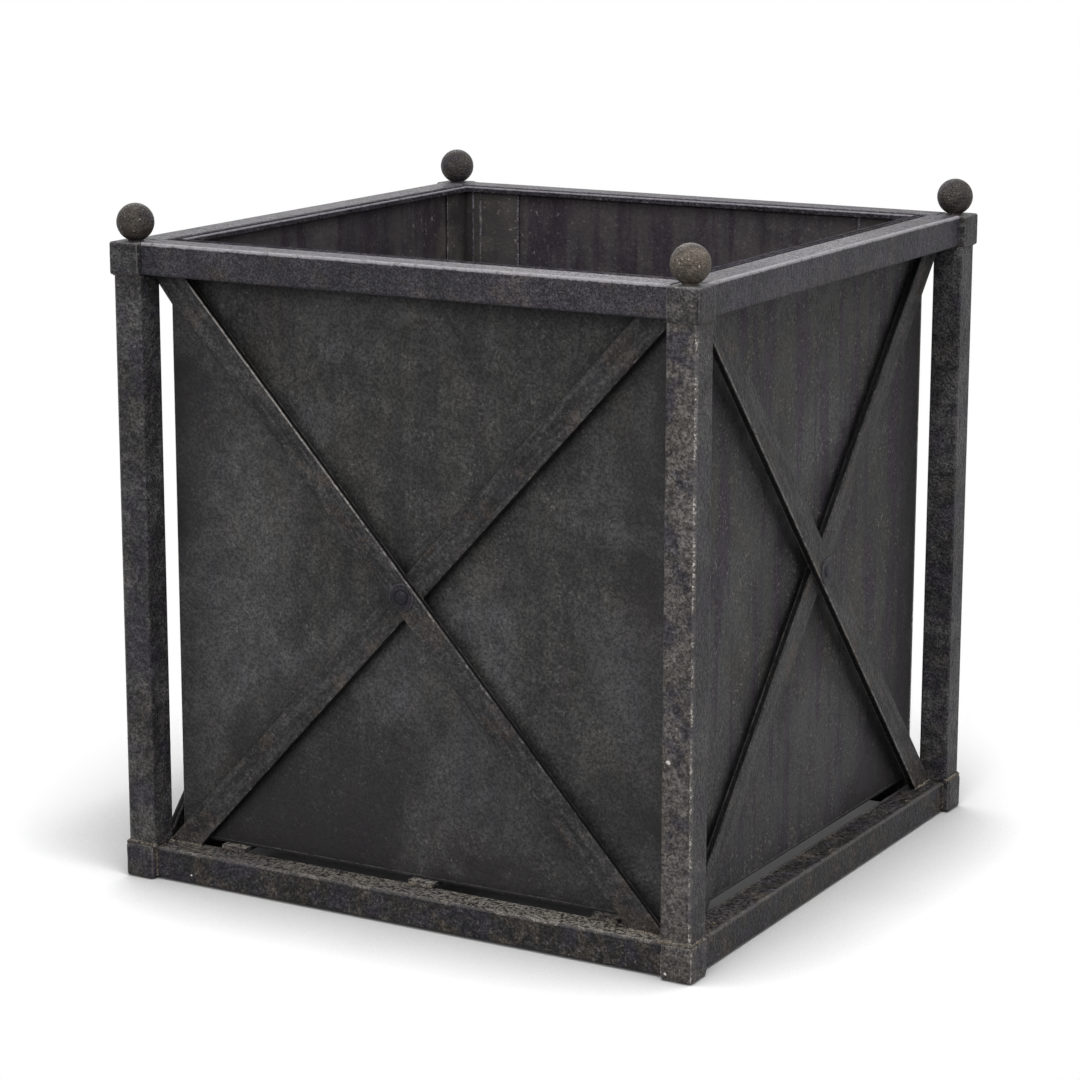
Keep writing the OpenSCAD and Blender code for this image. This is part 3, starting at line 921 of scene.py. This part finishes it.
def sheetPiece(name, low, high, material, buckle, tone):
    low = Vector(low)
    high = Vector(high)
    thin = min(range(3), key=lambda k: high[k] - low[k])
    first, second = [k for k in range(3) if k != thin]
    band = linerSizes["edgeBand"]

    def marks(axis):
        length = high[axis] - low[axis]
        count = max(2, round(length / linerSizes["sheetStep"]))
        inner = [length * i / count for i in range(1, count)]
        return [0, band * 0.4, band] + inner + [length - band, length - band * 0.4, length]

    rows = marks(first)
    lines = marks(second)
    outward = 1 if (low[thin] + high[thin]) > 0 else -1
    thickness = high[thin] - low[thin]
    points = []
    wear = []
    for level in (0, 1):
        for i, u in enumerate(rows):
            for j, v in enumerate(lines):
                point = Vector()
                point[first] = low[first] + u
                point[second] = low[second] + v
                point[thin] = low[thin] + thickness * level
                free = min(u, rows[-1] - u, v, lines[-1] - v)
                bend = 0.5 + 0.5 * noise.noise(point * 6)
                point[thin] -= outward * buckle * bend * min(1.0, free / 0.06)
                edge = min(i, len(rows) - 1 - i, j, len(lines) - 1 - j)
                points.append(point)
                wear.append((1.0, 0.55)[edge] if edge < 2 else 0.0)
    across = len(lines)
    layer = len(rows) * across
    faces = []
    for i in range(len(rows) - 1):
        for j in range(across - 1):
            a = i * across + j
            quad = (a, a + 1, a + across + 1, a + across)
            faces.append(quad)
            faces.append(tuple(layer + k for k in reversed(quad)))
    border = [i * across for i in range(len(rows))]
    border += [(len(rows) - 1) * across + j for j in range(1, across)]
    border += [i * across + across - 1 for i in range(len(rows) - 2, -1, -1)]
    border += [j for j in range(across - 2, 0, -1)]
    for index, a in enumerate(border):
        b = border[(index + 1) % len(border)]
        faces.append((a, b, layer + b, layer + a))
    if thin == 1:
        faces = [tuple(reversed(face)) for face in faces]
    return makePiece(name, points, faces, wear, material, tone=tone)


for side, turn in sides.items():
    low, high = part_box("liner_wall_" + side)
    piece = sheetPiece("linerWall." + side, low, high, linerSheet, linerSizes["buckle"],
                       0.0 if side == "front" else 1.0)
    finishPiece(piece, "liner", "liner_wall_" + side)
    low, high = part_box("liner_rim_" + side)
    top = linerSizes["rimTopRadius"]
    foot = linerSizes["rimLowRadius"]
    worn = (1.0, 0.1, 0.2, 0.5) if side in ("front", "left") else (0.1, 1.0, 0.5, 0.2)
    piece = sweepPiece("linerRim." + side, low, high, [top, top, foot, foot], rimSteel,
                       mitre=linerSizes["rimGap"], fade=0.001, wobble=0.0002, step=0.008,
                       worn=worn)
    finishPiece(piece, "liner", "liner_rim_" + side)
for corner, (signX, signY) in corners.items():
    node = "liner_angle_" + corner
    low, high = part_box(node)
    x, endX = outIn((low, high), 0, signX)
    y, endY = outIn((low, high), 1, signY)
    thickX, thickY = signX * linerSizes["angleThick"], signY * linerSizes["angleThick"]
    outline = [(x, y), (endX, y), (endX, y - thickY), (x - thickX, y - thickY),
               (x - thickX, endY), (x, endY)]
    if signX * signY < 0:
        outline.reverse()
    piece = platePiece("linerAngle." + corner, outline, (low[2], high[2]), Matrix.Identity(4),
                       linerSheet, linerSizes["angleEdge"])
    finishPiece(piece, "liner", node)
points = []
faces = []
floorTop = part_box("liner_floor")[1][2]
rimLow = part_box("liner_rim_front")[0][2]
steps = linerSizes["seamSteps"]
inner = linerSizes["seamWall"]
wander = linerSizes["seamWander"]
for signX, signY in corners.values():
    for away in linerSizes["seamPlaces"]:
        for step in range(steps + 1):
            z = floorTop + (rimLow - floorTop) * step / steps
            shift = wander * noise.noise(Vector((away * 900, signX, z * 60)))
            width = wander * noise.noise(Vector((signX * 5, away * 700, z * 90)))
            width += linerSizes["seamWidth"]
            if step:
                faces += [(len(points) - 3 + k, len(points) - 3 + (k + 1) % 3,
                           len(points) + (k + 1) % 3, len(points) + k) for k in range(3)]
            for across, rise in ((-width, 0.0), (0.0, linerSizes["seamRise"]), (width, 0.0)):
                u = inner - abs(away) + shift + across
                v = inner - rise
                x, y = (u, v) if away > 0 else (v, u)
                points.append((signX * x, signY * y, z))
piece = makePiece("linerSeams", points, faces, [0.0] * len(points), seamSteel, 80)
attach(piece, "liner")
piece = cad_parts["liner_floor"]
piece.data.materials.clear()
piece.data.materials.append(linerSheet)
print("liner built")

# floor, world, lamps and camera


def directLook(tree):  # 1 for the rays on which the white studio itself is seen
    path = addNode(tree, "ShaderNodeLightPath")
    mirrored = addMath(tree, "MAXIMUM", path.outputs["Is Glossy Ray"],
                       path.outputs["Is Transmission Ray"])
    return addMath(tree, "MAXIMUM", path.outputs["Is Camera Ray"], mirrored)


floorSizes = {
    "radius": 2.6, "fade": (0.46, 0.62),  # from its shadows to plain white, from the middle
    "shadeReach": 0.2, "shade": (0.57, 1.05), "otherRays": 0.12,
    "leanFrom": (-0.42, -0.25), "lean": 0.7,  # the left shadow reaches further
    # spill is painted light, a faint glow on the floor under the right side
    "spillPlace": (0.185, 0.08, 0), "spillSize": (0.055, 0.2, 1), "spill": 0.058}


def contactShade(tree, place):  # ambient occlusion, leaned towards the object on its left
    lean = addRange(tree, splitPlace(tree, place)["X"], *floorSizes["leanFrom"],
                    floorSizes["lean"], 0.0)
    lean = addNode(tree, "ShaderNodeCombineXYZ", {"Z": 1.0, "X": lean})
    near = addNode(tree, "ShaderNodeAmbientOcclusion", {
        "Distance": floorSizes["shadeReach"], "samples": 8,
        "Normal": addVector(tree, "NORMALIZE", lean)})
    return addRange(tree, near.outputs["AO"], 0.5, 1.0, *floorSizes["shade"])


def studioFloor():
    mesh = bpy.data.meshes.new("studioFloor")
    reach = floorSizes["radius"]
    rim = [(reach * math.cos(math.radians(angle)), reach * math.sin(math.radians(angle)), 0)
           for angle in range(0, 360, 5)]
    mesh.from_pydata(rim, [], [tuple(range(len(rim)))])
    floor = addObject("studioFloor", mesh)
    material = bpy.data.materials.new("plain white floor")
    tree = emptyTree(material)
    seen = directLook(tree)
    place = addNode(tree, "ShaderNodeTexCoord").outputs["Object"]
    shade = addMix(tree, seen, (floorSizes["otherRays"],) * 3 + (1,), contactShade(tree, place))
    matte = addNode(tree, "ShaderNodeBsdfDiffuse", {"Color": shade})
    glow = addNode(tree, "ShaderNodeEmission", {"Color": (1, 1, 1, 1), "Strength": 1.0})
    fade = addRange(tree, addVector(tree, "LENGTH", place), *floorSizes["fade"])
    gap = addVector(tree, "SUBTRACT", place, floorSizes["spillPlace"])
    gap = addVector(tree, "LENGTH", addVector(tree, "DIVIDE", gap, floorSizes["spillSize"]))
    spill = addRange(tree, gap, 0.8, 1.0, floorSizes["spill"], 0.0)  # painted light: a faint glow on the floor under the right side, for light through the gap
    faded = addProduct(tree, seen, addMath(tree, "MAXIMUM", fade, spill))
    both = addNode(tree, "ShaderNodeMixShader", {0: faded, 1: matte, 2: glow})
    addNode(tree, "ShaderNodeOutputMaterial", {"Surface": both})
    mesh.materials.append(material)


lampSizes = {  # place, height of the aim, width and depth, and power
    "topSoftbox": ((0.42, -0.5, 2.5), 0.2, (2.0, 2.0), 60),
    "frontSoftbox": ((0.5, -3.0, 1.6), 0.25, (1.8, 1.5), 34),
    "rightSoftbox": ((2.8, -0.6, 1.1), 0.25, (2.0, 1.5), 15),
    "backSoftbox": ((-1.9, 2.3, 2.0), 0.25, (2.0, 1.5), 15)}
worldFill = 0.34


def studioWorld():
    world = bpy.data.worlds.new("white studio")
    bpy.context.scene.world = world
    tree = emptyTree(world)
    seen = directLook(tree)
    fill = addNode(tree, "ShaderNodeBackground", {"Color": (1, 1, 1, 1), "Strength": worldFill})
    white = addNode(tree, "ShaderNodeBackground", {"Color": (1, 1, 1, 1), "Strength": 1.0})
    both = addNode(tree, "ShaderNodeMixShader", {0: seen, 1: fill, 2: white})
    addNode(tree, "ShaderNodeOutputWorld", {"Surface": both})


def softLamp(name, place, aimHeight, size, power):
    data = bpy.data.lights.new(name, "AREA")
    data.shape = "RECTANGLE"
    data.size, data.size_y = size
    data.energy = power
    lamp = addObject(name, data)
    lamp.location = place
    direction = Vector((0, 0, aimHeight)) - Vector(place)
    lamp.rotation_euler = direction.to_track_quat("-Z", "Y").to_euler()


studioFloor()
studioWorld()
for name, values in lampSizes.items():
    softLamp(name, *values)

cameraSizes = {"place": (1.253, -2.2325, 0.8281), "azimuth": 29.641, "pitch": 12.593,
               "roll": 0.0755, "lens": 106.81}

cameraData = bpy.data.cameras.new("photoCamera")
cameraData.lens = cameraSizes["lens"]
cameraData.sensor_width = 36
cameraData.clip_end = 60
camera = addObject("photoCamera", cameraData)
azimuth = math.radians(cameraSizes["azimuth"])
pitch = math.radians(cameraSizes["pitch"])
forward = Vector((-math.sin(azimuth) * math.cos(pitch), math.cos(azimuth) * math.cos(pitch),
                  -math.sin(pitch)))
turned = forward.to_track_quat("-Z", "Y").to_matrix().to_4x4()
roll = Matrix.Rotation(math.radians(cameraSizes["roll"]), 4, "Z")
camera.matrix_world = Matrix.Translation(cameraSizes["place"]) @ turned @ roll
bpy.context.scene.camera = camera
bpy.context.scene.view_settings.view_transform = "Standard"
print("studio set")

writeSize()
